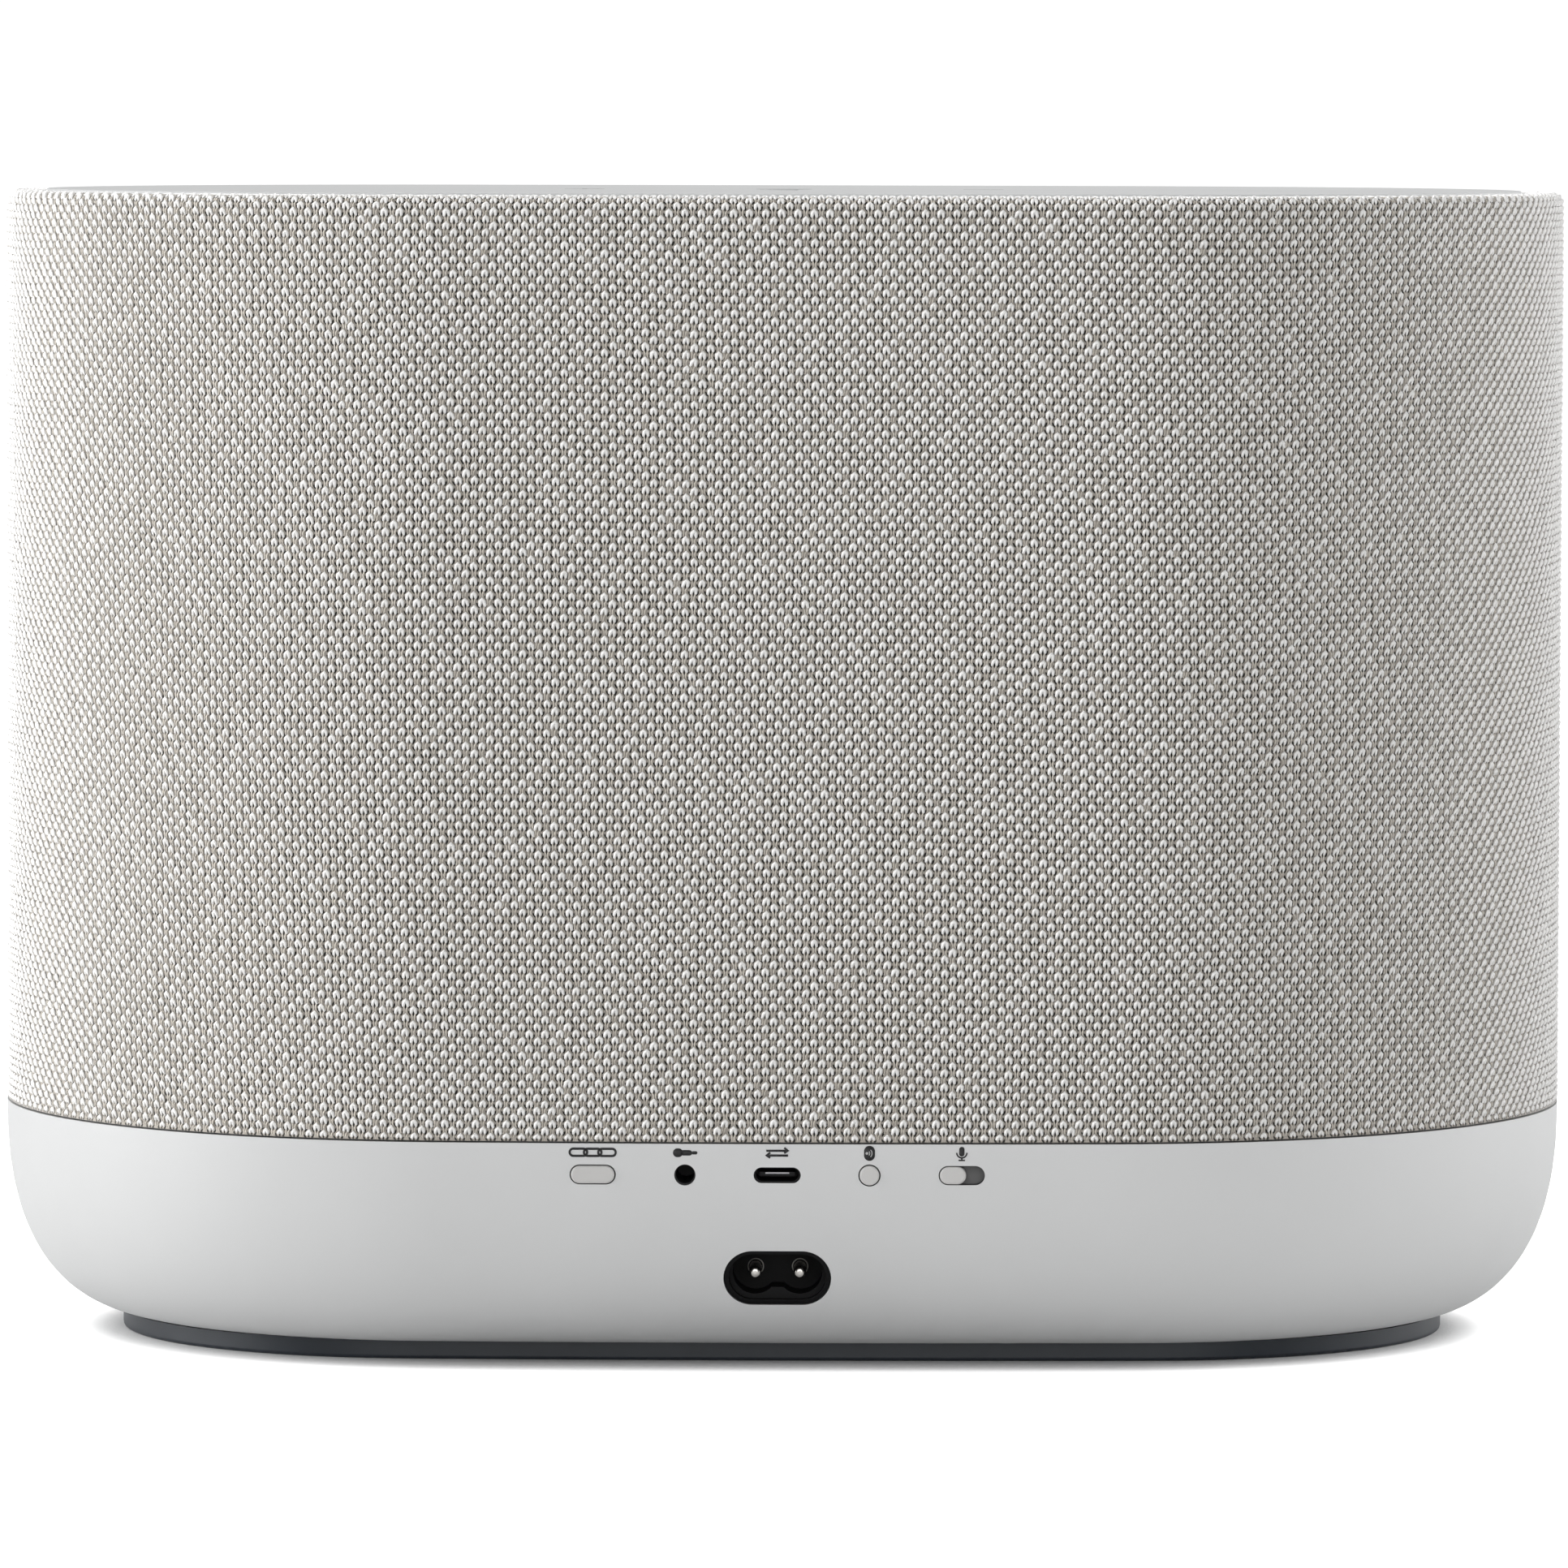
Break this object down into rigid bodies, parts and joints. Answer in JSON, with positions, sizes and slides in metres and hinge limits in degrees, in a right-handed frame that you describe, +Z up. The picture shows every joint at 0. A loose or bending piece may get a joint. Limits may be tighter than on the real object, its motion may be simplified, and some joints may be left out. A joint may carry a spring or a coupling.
{
  "type": "smart speaker",
  "caption": "Oval mains-powered smart speaker with a knitted cover over the whole body, a bowl-shaped base with keys and sockets at the rear, and a rubber foot",
  "frame": {"origin": "on the surface it stands on, under the middle of the foot pad", "axes": "+X to the speaker's left, which is left as seen from the rear; +Y to the rear, where the keys and sockets are; +Z up"},
  "size_m": [0.312, 0.1953, 0.2286],
  "materials": {
    "shell": "fine matt moulded texture",
    "foot": "matt blue-grey rubber",
    "cover": "raised knit",
    "frame": "matt black",
    "cabinet": "matt black",
    "seal": "soft foam rubber",
    "basket": "black painted",
    "steel": "plain",
    "ferrite": "dull",
    "cone": "pressed pulp",
    "spider": "treated cloth",
    "tweeter": "matt black",
    "dome": "coated silk",
    "screws": "zinc plated",
    "board": "solder mask",
    "chip": "moulded epoxy",
    "heatsink": "extruded",
    "tin": "tin plate",
    "cans": "sleeved cans",
    "transformer": "taped winding",
    "inlet": "satin black",
    "pins": "plated",
    "keys": "satin",
    "switch": "moulded",
    "light": "clear light pipe",
    "leads": "insulated wire"
  },
  "bodies": {
    "housing": {"amp_board": "board", "amp_capacitors": "cans", "amp_chips": "chip", "amp_heatsink": "heatsink", "antennas": "board", "aux_jack": "chip", "baffle_screws": "screws", "base_shell": "shell", "board_screws": "screws", "cabinet_gasket": "seal", "cabinet_shell": "cabinet", "case_screws": "screws", "connect_switch_body": "chip", "driver_leads": "leads", "fabric_sleeve": "cover", "foot_pad": "foot", "front_baffle": "cabinet", "grille_frame": "frame", "inlet_pins": "pins", "io_board": "board", "lead_grommet": "seal", "left_tweeter_magnet": "steel", "left_tweeter_plate": "tweeter", "left_tweeter_surround": "dome", "left_woofer_basket": "basket", "left_woofer_magnet": "ferrite", "left_woofer_spider": "spider", "left_woofer_surround": "seal", "left_woofer_top_plate": "steel", "left_woofer_yoke": "steel", "mains_inlet": "inlet", "mute_switch_body": "chip", "pairing_switch_body": "chip", "processor_shield": "tin", "psu_board": "board", "psu_capacitors": "cans", "psu_transformer": "transformer", "right_tweeter_magnet": "steel", "right_tweeter_plate": "tweeter", "right_tweeter_surround": "dome", "right_woofer_basket": "basket", "right_woofer_magnet": "ferrite", "right_woofer_spider": "spider", "right_woofer_surround": "seal", "right_woofer_top_plate": "steel", "right_woofer_yoke": "steel", "status_lights": "light", "top_panel": "shell", "touch_board": "board", "usb_port": "tin"},
    "connect_key": {"connect_button": "keys", "connect_switch_plunger": "switch"},
    "pairing_key": {"pairing_button": "keys", "pairing_switch_plunger": "switch"},
    "mute_slide": {"mute_slider": "keys", "mute_switch_lever": "switch"},
    "left_cone": {"left_woofer_cone": "cone"},
    "right_cone": {"right_woofer_cone": "cone"},
    "left_dome": {"left_tweeter_dome": "dome"},
    "right_dome": {"right_tweeter_dome": "dome"}
  },
  "joints": [
    {"name": "connect_press", "type": "slide", "parent": "housing", "child": "connect_key", "axis": [0, -1, 0], "range_m": [0, 0.0006], "stiffness_N_per_m": 1500, "springref_m": -0.0006},
    {"name": "pairing_press", "type": "slide", "parent": "housing", "child": "pairing_key", "axis": [0, -1, 0], "range_m": [0, 0.0006], "stiffness_N_per_m": 1500, "springref_m": -0.0006},
    {"name": "mute_slide_travel", "type": "slide", "parent": "housing", "child": "mute_slide", "axis": [-1, 0, 0], "range_m": [0, 0.0034]},
    {"name": "left_cone_travel", "type": "slide", "parent": "housing", "child": "left_cone", "axis": [0, -1, 0], "range_m": [-0.004, 0.004], "stiffness_N_per_m": 900, "deforming": ["left_woofer_surround", "left_woofer_spider"]},
    {"name": "left_dome_travel", "type": "slide", "parent": "housing", "child": "left_dome", "axis": [0, -1, 0], "range_m": [-0.0003, 0.0003], "stiffness_N_per_m": 1200, "deforming": ["left_tweeter_surround"]},
    {"name": "right_cone_travel", "type": "slide", "parent": "housing", "child": "right_cone", "axis": [0, -1, 0], "range_m": [-0.004, 0.004], "stiffness_N_per_m": 900, "deforming": ["right_woofer_surround", "right_woofer_spider"]},
    {"name": "right_dome_travel", "type": "slide", "parent": "housing", "child": "right_dome", "axis": [0, -1, 0], "range_m": [-0.0003, 0.0003], "stiffness_N_per_m": 1200, "deforming": ["right_tweeter_surround"]}
  ]
}
